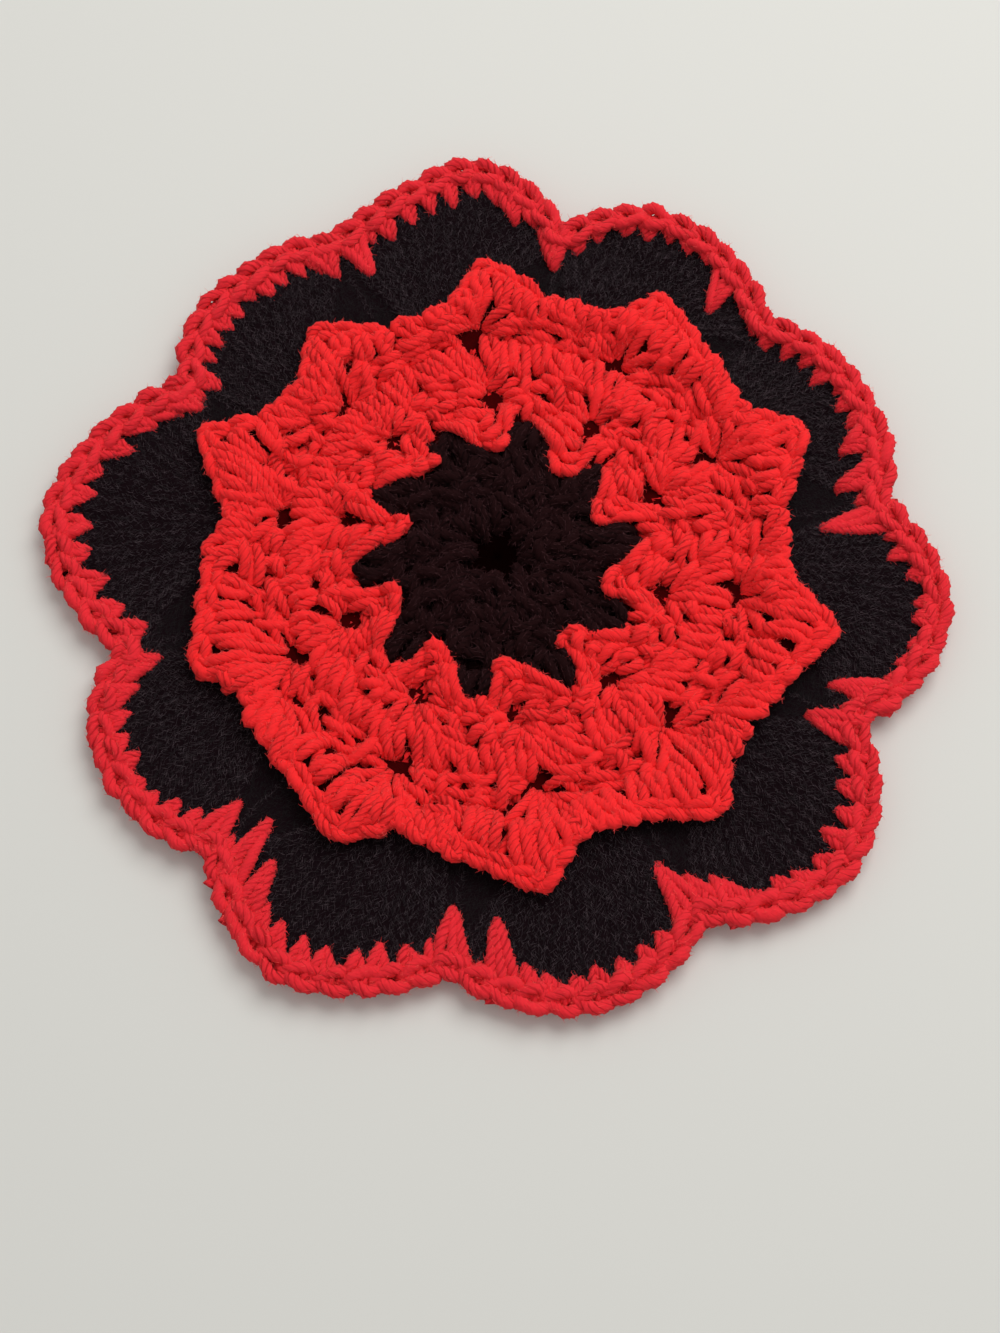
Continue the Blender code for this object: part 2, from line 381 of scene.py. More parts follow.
    def piece(self, name, material, stray_material):
        """Makes the visible object, with the second material on its stray fibres."""
        places = np.concatenate(self.places)
        places[:, 2] = np.maximum(places[:, 2], RESTING)
        places += (HOLE_X, HOLE_Y, 0)
        mesh = bpy.data.meshes.new(name)
        mesh.from_pydata(places * MM, [], np.concatenate(self.faces))
        mesh.shade_smooth()
        ply = mesh.attributes.new("ply", "FLOAT", "POINT")
        ply.data.foreach_set("value", np.concatenate(self.plies))
        fibre = mesh.attributes.new("fibre", "FLOAT_VECTOR", "POINT")
        fibre.data.foreach_set("vector", np.concatenate(self.fibres).ravel())
        mesh.materials.append(material)
        mesh.materials.append(stray_material)
        kinds = [np.zeros(len(batch), dtype=np.int32) for batch in self.faces]
        for batch in self.stray:
            kinds[batch][:] = 1
        mesh.polygons.foreach_set("material_index", np.concatenate(kinds))
        return add_object(name, mesh)


def add_object(name, data):
    made = bpy.data.objects.new(name, data)
    bpy.context.scene.collection.objects.link(made)
    return made


def lengths_along(path):
    """The length of the path up to each of its points."""
    return np.concatenate([[0], np.cumsum(np.linalg.norm(np.diff(path, axis=0), axis=1))])


def smooth(points, step):
    """A Catmull-Rom curve through the points, in even steps."""
    padded = np.vstack([2 * points[0] - points[1], points, 2 * points[-1] - points[-2]])
    share = np.linspace(0, 1, CURVE_STEPS + 1)[:-1, None]
    dense = []
    for one, two, three, four in zip(padded, padded[1:], padded[2:], padded[3:]):
        dense.append(0.5 * (2 * two + (three - one) * share
                            + (2 * one - 5 * two + 4 * three - four) * share ** 2
                            + (3 * two - one - 3 * three + four) * share ** 3))
    dense = np.vstack(dense + [points[-1:]])
    lengths = lengths_along(dense)
    rings = max(4, int(round(lengths[-1] / step)) + 1)
    even = np.linspace(0, lengths[-1], rings)
    return np.stack([np.interp(even, lengths, dense[:, axis]) for axis in range(3)], axis=1)


def frames(path):
    """Two directions square to the path at each of its points, carried along without twist."""
    ahead = np.gradient(path, axis=0)
    ahead /= np.linalg.norm(ahead, axis=1)[:, None]
    seed = np.array([0.0, 0.0, 1.0]) if abs(ahead[0][2]) < 0.9 else np.array([1.0, 0.0, 0.0])
    across = np.empty_like(path)
    now = np.cross(seed, ahead[0])
    for index, direction in enumerate(ahead):
        now = now - direction * now.dot(direction)
        now = now / sqrt(now.dot(now))
        across[index] = now
    return across, np.cross(ahead, across)


# ------------ stitches

def raised(place, height):
    """The place at a height, a little off as every strand's path is."""
    return np.array([place[0], place[1], height]) + RANDOM.normal(0, WOBBLE, 3)


# One side of a leaf-shaped pair of strands: share of the leaf's length, share of its half width, height.
LEAF = ((-0.14, 0.30, -1.5), (0.03, 0.60, 0.0), (0.26, 0.98, 0.9), (0.58, 1.0, 1.2),
        (0.88, 0.80, 0.6), (1.06, 0.45, -1.2))
# The strand that wraps a post: share of its half width across, share of its slant, height.
WRAP = ((-1.3, -0.9, -1.9), (-1.0, -0.6, 0.3), (0.0, 0.0, 1.35), (1.0, 0.6, 0.3), (1.3, 0.9, -1.9))
WRAP_SLANT = 2.0
# The same two for the plainer strands on the underside.
BACK_SIDE = ((-0.05, 0.4, 0.4), (0.2, 0.8, 0.0), (0.7, 0.8, 0.0), (1.0, 0.6, 0.4))
BACK_WRAP = ((-1.5, -1, 0.3), (-0.8, 0, -0.2), (0.8, 0, -0.2), (1.5, 1, 0.3))
# A loop: share of its length, share of its half width, height.
LOOP = ((-0.25, -0.5, -1.2), (0.1, -0.8, 0.4), (0.6, -1.0, 0.9), (0.92, -0.75, 0.7), (1.02, 0.0, 0.5),
        (0.92, 0.75, 0.7), (0.6, 1.0, 0.9), (0.1, 0.8, 0.4), (-0.25, 0.5, -1.2))


class Post:
    """A tall stitch that runs from base to top on a bowed line, above the height that under gives.

    foot and width are its half widths at the base and further up, and lift raises its lower end.
    """
    BOWED = 0.45            # share of its length at which it bows
    WIDENING = 1.5          # how fast it widens: its width is full at 1 / 1.5 of its length
    LOWERING = 2.5          # how fast the lift fades: it is gone at 1 / 2.5 of its length

    def __init__(self, base, top, under, bow=0.0, foot=0.5, width=1.3, lift=0.0):
        way = top - base
        self.base, self.top, self.under = base, top, under
        self.length = hypot(way[0], way[1])
        side = np.array([-way[1], way[0]]) / self.length
        self.control = base + way * self.BOWED + side * bow * 2
        self.foot, self.width, self.lift = foot, width, lift

    def half(self, share):
        """The stitch's half width, which grows from its foot."""
        return self.foot + (self.width - self.foot) * min(1.0, max(0.0, share) * self.WIDENING)

    def at(self, share, across, height):
        """A place on the stitch: along it, across it in half widths, and above the cloth's underside."""
        place = (1 - share) ** 2 * self.base + 2 * share * (1 - share) * self.control + share ** 2 * self.top
        ahead = 2 * (1 - share) * (self.control - self.base) + 2 * share * (self.top - self.control)
        side = np.array([-ahead[1], ahead[0]]) / hypot(ahead[0], ahead[1])
        place = place + side * across * self.half(share)
        lift = self.lift * max(0.0, 1 - max(share, 0) * self.LOWERING)
        return raised(place, self.under(place) + height + lift)

    def lay(self, strands):
        """Lays the post as a leaf-shaped pair of strands."""
        for hand in (-1, 1):
            points = [self.at(share, hand * across, FRONT + height) for share, across, height in LEAF]
            strands.lay(points, squeeze=(0.85, 0.9), ramp=5.0)

    def loop(self, strands):
        """One strand that goes up the post's one side and comes down on the other."""
        points = [self.at(share, across, FRONT + height) for share, across, height in LOOP]
        strands.lay(points)

    def wrap(self, strands, lean):
        """A short strand that slants across the post's foot."""
        points = [self.at(lean * tilt * WRAP_SLANT / self.length, across, FRONT + height)
                  for across, tilt, height in WRAP]
        strands.lay(points)

    def lay_back(self, strands):
        """The plainer strands that show from underneath."""
        for hand in (-1, 1):
            points = [self.at(share, hand * across, BACK + height) for share, across, height in BACK_SIDE]
            strands.lay(points, BACK_RADIUS, (0.6, 0.85), step=strands.step * BACK_STEP, fuzz=False)
        points = [self.at(0.85 + tilt * 0.8 / self.length, across, BACK + height)
                  for across, tilt, height in BACK_WRAP]
        strands.lay(points, BACK_RADIUS, EVEN, step=strands.step * BACK_STEP, fuzz=False)


# One side of a chain's V: share of the pitch along, share of the half width across, height.
CHAIN_LEG = ((-0.35, -0.15, -1.4), (-0.12, 0.15, 0.0), (0.18, 0.70, 0.7), (0.55, 1.15, 0.8),
             (0.88, 0.95, 0.2), (1.12, 0.40, -1.3))


class Loop:
    """A closed path around the mat with a height at each point."""

    def __init__(self, places, heights):
        closed = np.vstack([places, places[:1]])
        self.lengths = lengths_along(closed)
        self.total = self.lengths[-1]
        self.points = np.column_stack([closed, np.append(heights, heights[0])])

    def at(self, distance):
        distance = distance % self.total
        return np.array([np.interp(distance, self.lengths, self.points[:, axis]) for axis in range(3)])

    def ahead(self, distance):
        """The path's direction, level with the surface."""
        way = (self.at(distance + 1.0) - self.at(distance - 1.0))[:2]
        return way / hypot(way[0], way[1])


# A chain's height above the cloth's underside, its inset from the edge, and the sizes of its stitches.
Braid = namedtuple("Braid", "height inset pitch half_width yarn_radius")
STAR_BRAID = Braid(FRONT - 0.2, 2.2, 5.8, 1.2, YARN_RADIUS)
EDGING_BRAID = Braid(FRONT + 0.5, 3.15, 6.3, 1.8, 1.45)
UNDER_BRAID = Braid(2.2, 3.4, 6.3, 1.45, 1.1)


def everywhere(place):
    return True


def chain(strands, edge_at, under, braid, where=everywhere, below=False):
    """A braided chain of Vs along an edge, that shows above the cloth or below it."""
    places = np.array([spot(angle, edge_at(angle) - braid.inset) for angle in range(360)])
    loop = Loop(places, np.array([under(place) for place in places]) + braid.height)
    up, step = (-1, strands.step * UNDER_BRAID_STEP) if below else (1, strands.step)
    stitches = int(round(loop.total / braid.pitch))
    pitch = loop.total / stitches
    for stitch in range(stitches):
        start = stitch * pitch + RANDOM.normal(0, 0.25)
        if not where(loop.at(start)):
            continue
        for hand in (-1, 1):
            points = []
            for share, across, height in CHAIN_LEG:
                middle = loop.at(start + share * pitch)
                ahead = loop.ahead(start + share * pitch)
                outward = np.array([ahead[1], -ahead[0]])
                place = middle[:2] + outward * hand * across * braid.half_width
                points.append(raised(place, middle[2] + up * height))
            strands.lay(points, braid.yarn_radius, ramp=3.0, step=step, fuzz=not below)


def between(first, last, count):
    """Evenly spread values, with half a step left over at both ends."""
    return [first + (last - first) * (index + 0.5) / count for index in range(count)]


# ------------ materials

STREAK_STRENGTH = 1.3       # of the fibre streaks, next to 1 for the plies' crests
GROOVE_SHADE_TONE = 0.45          # up to here the yarn has the painted shade of its grooves
BUMP_DEPTH = 0.0003         # in metres


class Surface:
    """A rough material whose colour lies on a ramp between two tones."""

    def __init__(self, name, dark, pale, roughness, shine):
        self.material = bpy.data.materials.new(name)
        self.material.use_nodes = True
        self.shader = self.material.node_tree.nodes["Principled BSDF"]
        self.fill(self.shader, {"Roughness": roughness, "Specular IOR Level": shine})
        self.ramp = self.node("ShaderNodeValToRGB")
        for element, colour in zip(self.ramp.color_ramp.elements, (dark, pale)):
            element.color = (*colour, 1)
        self.link(self.ramp.outputs["Color"], self.shader, "Base Color")

    def fill(self, node, values):
        for socket, value in values.items():
            node.inputs[socket].default_value = value

    def node(self, kind, values=None):
        made = self.material.node_tree.nodes.new(kind)
        self.fill(made, values or {})
        return made

    def link(self, output, node, socket):
        self.material.node_tree.links.new(output, node.inputs[socket])

    def attribute(self, name):
        made = self.node("ShaderNodeAttribute")
        made.attribute_name = name
        return made


def yarn_material(name, crest, groove_shade, sheen, sheen_tint, shine=0.15):
    """Plied yarn: painted shade darkens the grooves between plies, with streaks of fibres and a soft sheen.
    """
    surface = Surface(name, groove_shade, crest, 0.9, shine)
    streaks = surface.node("ShaderNodeTexNoise", {"Scale": 2.6, "Detail": 3.0})
    surface.link(surface.attribute("fibre").outputs["Vector"], streaks, "Vector")
    tone = surface.node("ShaderNodeMath", {1: STREAK_STRENGTH})
    tone.operation = "MULTIPLY_ADD"
    surface.link(streaks.outputs["Fac"], tone, 0)
    surface.link(surface.attribute("ply").outputs["Fac"], tone, 2)
    surface.ramp.color_ramp.elements[0].position = GROOVE_SHADE_TONE
    surface.link(tone.outputs[0], surface.ramp, "Fac")
    bump = surface.node("ShaderNodeBump", {"Strength": 0.6, "Distance": BUMP_DEPTH})
    surface.link(streaks.outputs["Fac"], bump, "Height")
    surface.link(bump.outputs["Normal"], surface.shader, "Normal")
    surface.fill(surface.shader, {
        "Sheen Weight": sheen, "Sheen Roughness": 0.6, "Sheen Tint": (*sheen_tint, 1)})
    return surface.material


def fibre_material(name, dark, pale, shine=0.2):
    """Single stray fibres, each with a tone of its own between the two colours."""
    surface = Surface(name, dark, pale, 0.8, shine)
    surface.link(surface.attribute("ply").outputs["Fac"], surface.ramp, "Fac")
    return surface.material


def ground_material(name, colour):
    """A sheet's colour, with a fine grain. On the star, edging and centre it is darkened, painted shade in
    the depth between the stitches; on the petals it is about the black yarn's own colour.
    """
    surface = Surface(name, [value * 0.6 for value in colour], colour, 0.95, 0.0)
    grain = surface.node("ShaderNodeTexNoise", {"Scale": 900.0})
    surface.link(surface.node("ShaderNodeTexCoord").outputs["Object"], grain, "Vector")
    surface.link(grain.outputs["Fac"], surface.ramp, "Fac")
    return surface.material


# ------------ the underside of each band, above the surface

STAR_BULGE = 1.7
CENTRE_BULGE = 2.0
DIP_DEPTH = 2.1             # of the centre at its hole
DIP_RADIUS = 9.0


def flat_under(place):
    return 0.0


def star_under(place):
    """The star bulges a little here and there."""
    return star_rise(*polar(place)) + STAR_BULGE * max(0.0, lumps(place, 0.11, 3.0))


def centre_under(place):
    """The centre dips into its hole, and bulges a little here and there."""
    dip = DIP_DEPTH * max(0.0, 1 - hypot(place[0], place[1]) / DIP_RADIUS)
    return CENTRE_BULGE * max(0.0, lumps(place, 0.17, 9.0)) - dip


def petal_under(place):
    return curl(*polar(place))


# ------------ the chart of the star

# One sector of the star, charted and repeated with some unevenness in all ten. A place is given
# across the sector, from 100 on its counter-clockwise side to -100 on its clockwise side, and on the way
# out, in hundredths of a row: 0 is the centre's edge and 300 the star's outline. The sector's holes lie in
# its middle, at 100 and 200.

# Single strands that rise from the foot, the row nearest to the centre.
FOOT_STRANDS = (
    ((130, 42), (112, 18), (88, 5), (62, -2)),
    ((72, -4), (48, -7), (26, -3), (6, 8)),
    ((34, 0), (12, 0), (-3, 8), (-10, 30)),
    ((-5, 16), (-14, 36), (-23, 62), (-33, 92)),
    ((108, 48), (90, 30), (66, 21), (42, 16)),
    ((54, 17), (32, 16), (14, 22), (4, 44)),
    ((5, 36), (0, 54), (-7, 74), (-16, 96)),
    ((104, 70), (86, 54), (66, 44), (46, 40)),
    ((56, 38), (38, 38), (22, 44), (14, 62)),
    ((12, 66), (32, 64), (56, 63), (80, 66)),
    ((12, 88), (32, 85), (54, 84), (76, 86)),
    ((72, 86), (90, 80), (106, 84), (118, 94)),
    ((-14, 44), (-32, 66), (-44, 88), (-50, 106)),
    ((-54, 54), (-60, 70), (-64, 88), (-68, 106)),
    ((-96, 50), (-90, 70), (-86, 90), (-82, 110)),
)

# Single strands that spread from the inner hole to both sides, with the tops of the row below them.
INNER_STRANDS = (
    ((76, 96), (78, 112), (82, 126), (88, 140)),
    ((-50, 94), (-54, 110), (-58, 124), (-62, 138)),
    ((20, 92), (34, 97), (50, 101), (64, 98)),
    ((60, 106), (74, 102), (90, 104), (104, 111)),
    ((-24, 100), (-40, 98), (-56, 102), (-72, 102)),
    ((9, 106), (25, 110), (42, 115), (58, 114)),
    ((8, 114), (24, 124), (40, 133), (54, 137)),
    ((5, 119), (17, 134), (29, 148), (38, 160)),
    ((1, 121), (6, 140), (10, 156), (14, 172)),
    ((-4, 120), (-8, 140), (-10, 158), (-10, 174)),
    ((-8, 117), (-20, 134), (-29, 150), (-34, 164)),
    ((-11, 112), (-29, 122), (-45, 133), (-56, 142)),
    ((-12, 105), (-32, 108), (-52, 113), (-70, 116)),
    ((50, 123), (66, 120), (84, 124), (100, 134)),
    ((48, 142), (66, 141), (84, 145), (98, 154)),
    ((-50, 131), (-66, 129), (-82, 133), (-94, 143)),
    ((-62, 122), (-78, 118), (-94, 120), (-106, 126)),
)

# The same around the outer hole.
OUTER_STRANDS = (
    ((30, 184), (32, 202), (36, 218), (42, 234)),
    ((68, 186), (68, 202), (70, 218), (74, 234)),
    ((-42, 186), (-44, 202), (-48, 218), (-52, 232)),
    ((-80, 188), (-82, 204), (-85, 220), (-88, 236)),
    ((16, 196), (28, 203), (42, 207), (56, 203)),
    ((50, 198), (64, 204), (80, 204), (92, 196)),
    ((86, 208), (98, 203), (110, 204), (120, 210)),
    ((-16, 203), (-32, 202), (-46, 206), (-58, 210)),
    ((-54, 196), (-68, 199), (-82, 204), (-96, 203)),
    ((8, 210), (24, 217), (42, 221), (58, 220)),
    ((6, 217), (20, 230), (35, 240), (50, 246)),
    ((4, 220), (14, 240), (24, 256), (33, 270)),
    ((0, 221), (4, 242), (8, 260), (12, 276)),
    ((-5, 220), (-8, 242), (-10, 260), (-10, 276)),
    ((-9, 217), (-19, 236), (-27, 252), (-32, 266)),
    ((-12, 213), (-29, 225), (-44, 236), (-54, 248)),
    ((-13, 208), (-34, 214), (-54, 219), (-70, 224)),
    ((52, 230), (68, 225), (84, 227), (100, 234)),
    ((50, 240), (66, 236), (82, 238), (98, 246)),
    ((46, 254), (60, 250), (78, 252), (94, 258)),
    ((-60, 216), (-76, 212), (-92, 214), (-106, 220)),
    ((-58, 230), (-74, 228), (-88, 231), (-102, 238)),
)

# Pairs of strands that close a stitch, each from its lower end to its top.
INNER_LEAVES = (
    ((66, 150), (92, 186)),
    ((43, 148), (64, 192)),
    ((19, 150), (34, 194)),
    ((-9, 152), (-13, 196)),
    ((-34, 150), (-38, 194)),
    ((-60, 142), (-65, 188)),
    ((-90, 160), (-92, 198)),
)
OUTER_LEAVES = (
    ((5, 250), (6, 294)),
    ((-14, 248), (-16, 294)),
    ((-37, 244), (-41, 284)),
    ((-63, 240), (-67, 280)),
    ((-89, 238), (-93, 280)),
)

# Loops of one strand that stand along the star's shoulders, each from its lower end to its top.
OUTER_LOOPS = (
    ((76, 260), (96, 297)),
    ((56, 258), (74, 298)),
    ((40, 258), (52, 298)),
    ((25, 256), (32, 297)),
)


def row_edge(angle_name, reach_name):
    """The line of holes that a row ends on."""
    return [(getattr(shell, angle_name), getattr(shell, reach_name)) for shell in SHELLS]


INNER_EDGE = row_edge("inner_angle", "inner_reach")
OUTER_EDGE = row_edge("outer_angle", "outer_reach")
ROW_EDGES = (
    lambda angle: straight(CENTRE_CORNERS, angle),
    lambda angle: level(INNER_EDGE, angle),
    lambda angle: level(OUTER_EDGE, angle),
    lambda angle: straight(STAR_CORNERS, angle),
)


def sector_line(index, row):
    """The angle of a sector's middle line, which leans counter-clockwise on its way out."""
    index = index % len(SHELLS)
    shell, point = SHELLS[index], STAR[index]
    angles = (CENTRE[index - 1].foot_angle, shell.inner_angle, shell.outer_angle,
              (point.tip_angle + point.valley_angle) / 2)
    inner = int(min(2, max(0, row)))
    here, there = angles[inner], angles[inner + 1]
    return here + turned(there - here) * (row - inner)


def sector_place(index, across, row):
    """A place from its share across a sector and its row, seen from the hole."""
    here = sector_line(index, row)
    if across > 0:
        width = (sector_line(index + 1, row) - here) % 360
    else:
        width = (here - sector_line(index - 1, row)) % 360
    angle = here + across * width / 2
    inner = int(min(2, max(0, row)))
    share = row - inner
    return spot(angle, ROW_EDGES[inner](angle) * (1 - share) + ROW_EDGES[inner + 1](angle) * share)


# ------------ the centre

CENTRE_RINGS = (8.4, 11.0, 13.6, 16.0, 19.0, 22.0, 24.6)     # the middles of the centre's rings of strands
CENTRE_SPACING = 2.9
CENTRE_STRAND = 6.2
CENTRE_LEAN = 25.0          # degrees from the way out
CENTRE_MARGIN = 2.2         # between a strand's middle and the centre's edge
CENTRE_BACK_START = 4.8     # radii between which the underside's first round of posts stands
CENTRE_BACK_TURN = 13.0
CENTRE_BACK_INSET = 1.0     # the second round ends this far inside the centre's edge
# A puffed strand from end to end: share of its length on from its middle, height.
PUFF = ((-0.55, -1.6), (-0.42, 0.0), (-0.15, 0.8), (0.15, 0.8), (0.42, 0.0), (0.55, -1.6))
# Strands that fill a point: degrees from its middle, and how far inside its end.
POINT_STRANDS = ((-7, 5.8), (-2.5, 4.6), (2.5, 4.6), (7, 5.8))
POINT_STRAND_LENGTH = 8.5
CENTRE_NAP = 8000           # fibres
CENTRE_NAP_LOFT = 1.9
CENTRE_NAP_START = 3        # the row of the centre's sheet on which the nap starts, outside the hole


def puffed_strand(strands, middle, direction, length, height):
    """A short, bowed strand that rises between its two sunk ends."""
    ahead = spot(direction, 1.0)
    side = spot(direction + 90, RANDOM.normal(0, 0.7))
    points = []
    for share, rise in PUFF:
        place = middle + ahead * share * length + side * (1 - 4 * share * share)
        points.append(raised(place, centre_under(place) + height + rise))
    strands.lay(points)


def centre_stitches(sheet):
    strands = Strands(step=1.0, fuzz_per_mm=12.0)
    for ring in CENTRE_RINGS:
        count = int(2 * pi * ring / CENTRE_SPACING)
        for index in range(count):
            angle = 360 * index / count + RANDOM.normal(0, 60 / count)
            middle = spot(angle, ring + RANDOM.normal(0, 0.7))
            if ring > straight(CENTRE_CORNERS, angle) - CENTRE_MARGIN:
                continue
            lean = CENTRE_LEAN + RANDOM.normal(0, 40)
            puffed_strand(strands, middle, angle + lean, CENTRE_STRAND, FRONT + RANDOM.normal(0, 0.6))
    for tooth in CENTRE:
        for turn, inset in POINT_STRANDS:
            middle = spot(tooth.point_angle + turn, tooth.point_reach - inset)
            direction = tooth.point_angle + RANDOM.normal(0, 12)
            puffed_strand(strands, middle, direction, POINT_STRAND_LENGTH, FRONT)
    for angle in between(0, 360, 12):
        base, top = spot(angle, CENTRE_BACK_START), spot(angle, CENTRE_BACK_TURN)
        Post(base, top, flat_under).lay_back(strands)
    for angle in between(0, 360, 30):
        top = spot(angle, straight(CENTRE_CORNERS, angle) - CENTRE_BACK_INSET)
        Post(spot(angle, CENTRE_BACK_TURN), top, flat_under).lay_back(strands)
    ring = np.concatenate([sheet, sheet[:1]])[:, CENTRE_NAP_START:]
    strands.nap(ring, CENTRE_NAP, CENTRE_NAP_LOFT, palest=0.12)
    return strands


# ------------ the star

HOLE_RADIUS = 3.05          # the strands' middles keep this far from the middle of a hole
HOLES = [spot(angle, reach) for edge in (INNER_EDGE, OUTER_EDGE) for angle, reach in edge]


def beside_holes(place):
    """The place itself or, where it lies inside a hole, the nearest place at the hole's rim."""
    for hole in HOLES:
        away = place - hole
        distance = hypot(away[0], away[1])
        if distance < HOLE_RADIUS:
            return hole + away * HOLE_RADIUS / max(distance, 0.1)
    return place


STRAND_HEIGHTS = (-1.5, 0.2, 0.9, -1.0)     # of a single strand, at its four places
STRAND_STRETCH = 0.06                       # both ends of a charted strand run on by this share of it
STRAND_TURN = 0.12                          # and it is turned by about this angle, in radians
FOOT_LIFT = 1.9                             # a foot's strands lie over the centre's edge


def single_strand(strands, index, charted, lift, thin):
    """One strand of the chart, moved and turned a little."""
    places = np.divide(charted, 100)
    path = np.array([sector_place(index, across, row) for across, row in places])
    middle = path.mean(axis=0)
    turn = RANDOM.normal(0, STRAND_TURN)
    swing = np.array([[cos(turn), sin(turn)], [-sin(turn), cos(turn)]])
    path = middle + (path - middle) @ swing + RANDOM.normal(0, 0.3, 2)
    sunk = RANDOM.normal(0, 0.4)
    path = path + (path[-1] - path[0]) * [[-STRAND_STRETCH], [0.0], [0.0], [STRAND_STRETCH]]
    points = []
    for place, (across, row), height in zip(path, places, STRAND_HEIGHTS):
        place = beside_holes(place + RANDOM.normal(0, 0.25, 2))
        raise_by = lift * max(0.0, 1 - max(row, 0) * 1.3)
        points.append(raised(place, star_under(place) + FRONT + height + sunk + raise_by))
    strands.lay(points, squeeze=(thin, 0.9), ramp=5.0)


def chart_post(index, lower, upper):
    """A post of the chart, from its lower end to its top, with some unevenness."""
    base, top = (sector_place(index, *np.divide(end, 100)) + RANDOM.normal(0, 0.5, 2)
                 for end in (lower, upper))
    return Post(base, top, star_under, bow=RANDOM.normal(0, 0.5), foot=0.8, width=1.35,
                lift=RANDOM.uniform(-0.5, 0.9))


def star_row(strands, singles, leaves, lift=0.0, thin=0.65):
    """One row of the chart in all sectors."""
    for index in range(len(STAR)):
        for charted in singles:
            single_strand(strands, index, charted, lift, thin)
        for lower, upper in leaves:
            post = chart_post(index, lower, upper)
            post.lay(strands)
            if RANDOM.random() < 0.5:
                post.wrap(strands, 1 if lower[0] > 0 else -1)


UNDER_STRANDS = 190         # strands that fill the depth between the star's stitches
UNDER_LENGTH = 8.0
UNDER_HEIGHTS = (1.5, 2.1, 2.1, 1.5)
UNDER_RADIUS = 1.2
UNDER_STEP = 1.6
UNDER_CLEARANCE = 4.2       # between a hole and the strands under it
UNDER_MARGINS = (3.0, 5.5)  # of these strands' middles, from the centre's edge and from the star's outline
GOLDEN_ANGLE = 137.508      # spreads them evenly


def under_strands(strands):
    """Strands deeper down, that show in the gaps but leave the holes open."""
    for index in range(UNDER_STRANDS):
        angle = (index * GOLDEN_ANGLE) % 360
        low = straight(CENTRE_CORNERS, angle) + UNDER_MARGINS[0]
        high = straight(STAR_CORNERS, angle) - UNDER_MARGINS[1]
        middle = spot(angle, sqrt(low ** 2 + (high ** 2 - low ** 2) * (index + 0.5) / UNDER_STRANDS))
        way = spot(angle + RANDOM.normal(10, 45), UNDER_LENGTH / 2)
        points = [middle + way * share for share in (-1.0, -0.4, 0.4, 1.0)]
        if any(np.linalg.norm(point - hole) < UNDER_CLEARANCE for point in points for hole in HOLES):
            continue
        heights = [star_under(point) + height for point, height in zip(points, UNDER_HEIGHTS)]
        strands.lay([(*point, height) for point, height in zip(points, heights)], UNDER_RADIUS, EVEN,
                    step=UNDER_STEP, fuzz=False)


def star_inner_stitches():
    strands = Strands()
    under_strands(strands)
    star_row(strands, FOOT_STRANDS, (), FOOT_LIFT, thin=0.85)
    star_row(strands, INNER_STRANDS, INNER_LEAVES)
    return strands


# Rounds of posts on the star's underside: how many in each sector, and the rows they stand between.
BACK_ROUNDS = ((4, 0.05, 1.0), (5, 1.05, 1.98), (6, 2.02, 2.62))


def star_back_stitches():
    """The plainer stitches that show from underneath, inside the petals."""
    strands = Strands(step=1.25)
    for index in range(len(STAR)):
        for count, low, high in BACK_ROUNDS:
            for across in between(-1, 1, count):
                base, top = sector_place(index, across, low), sector_place(index, across, high)
                Post(base, top, flat_under, foot=1.2, width=1.6).lay_back(strands)
    return strands


def off_shoulder(place):
    """Whether the star's rim is a chain here, and not a row of loops."""
    angle = polar(place)[0]
    return all((angle - point.valley_angle) % 360 > point.shoulder_angle - point.valley_angle
               for point in STAR)


def star_outer_stitches():
    strands = Strands()
    star_row(strands, OUTER_STRANDS, OUTER_LEAVES)
    for index in range(len(STAR)):
        for lower, upper in OUTER_LOOPS:
            chart_post(index, lower, upper).loop(strands)
    chain(strands, ROW_EDGES[-1], star_under, STAR_BRAID, where=off_shoulder)
    return strands


# ------------ the petals

PETAL_POSTS = 11
NOTCH_POSTS = (-3.5, 0.0, 3.5)      # the underside's posts at a notch, in degrees from it
PETAL_FOOT_SPREAD = 9.0     # degrees to each side of a valley, over which a petal's stitches start
PETAL_STEP = 0.75           # degrees between the spokes of the petals' sheet
PETAL_ROWS = 28
LOWEST_RELIEF = -0.3        # the sheet stays above the strands on the underside
NAP_FIBRES = 42000          # on each half of the petals


def petal_span(index):
    """The angles of the notches on both sides of a petal."""
    last = PETALS[index].notch_angle
    first = last - (last - PETALS[index - 1].notch_angle) % 360
    return first, last


def petal_axis(index):
    """The angle of a petal's middle, and that of the star's valley from which its stitches fan out."""
    middle = sum(petal_span(index)) / 2
    return middle, middle + turned(STAR[index].valley_angle - middle)


def petal_at(angle):
    """The number of the petal that lies at an angle."""
    for index in range(len(PETALS)):
        first, last = petal_span(index)
        if (angle - first) % 360 <= last - first:
            return index
    raise ValueError("no petal lies at the angle")


def fan_place(angle, radius):
    """A place's share across its petal, from -1 to 1, its share of the way out, and the stitches' way."""
    index = petal_at(angle)
    first, last = petal_span(index)
    half = (last - first) / 2
    middle, valley = petal_axis(index)
    angle = middle + turned(angle - middle)
    start = seam(angle)
    length = outline(angle, EDGING_WIDTH, NOTCH_EDGING_WIDTH) - start
    out = min(1.0, max(0.0, (radius - start) / length))
    centre = valley * (1 - out) + middle * out
    span = PETAL_FOOT_SPREAD * (1 - out) + half * out
    share = min(1.0, max(-1.0, (angle - centre) / span))
    turn = middle - valley + share * (half - PETAL_FOOT_SPREAD)
    way = spot(angle, length) + spot(angle + 90, radius * radians(turn))
    return share, out, way / hypot(way[0], way[1])


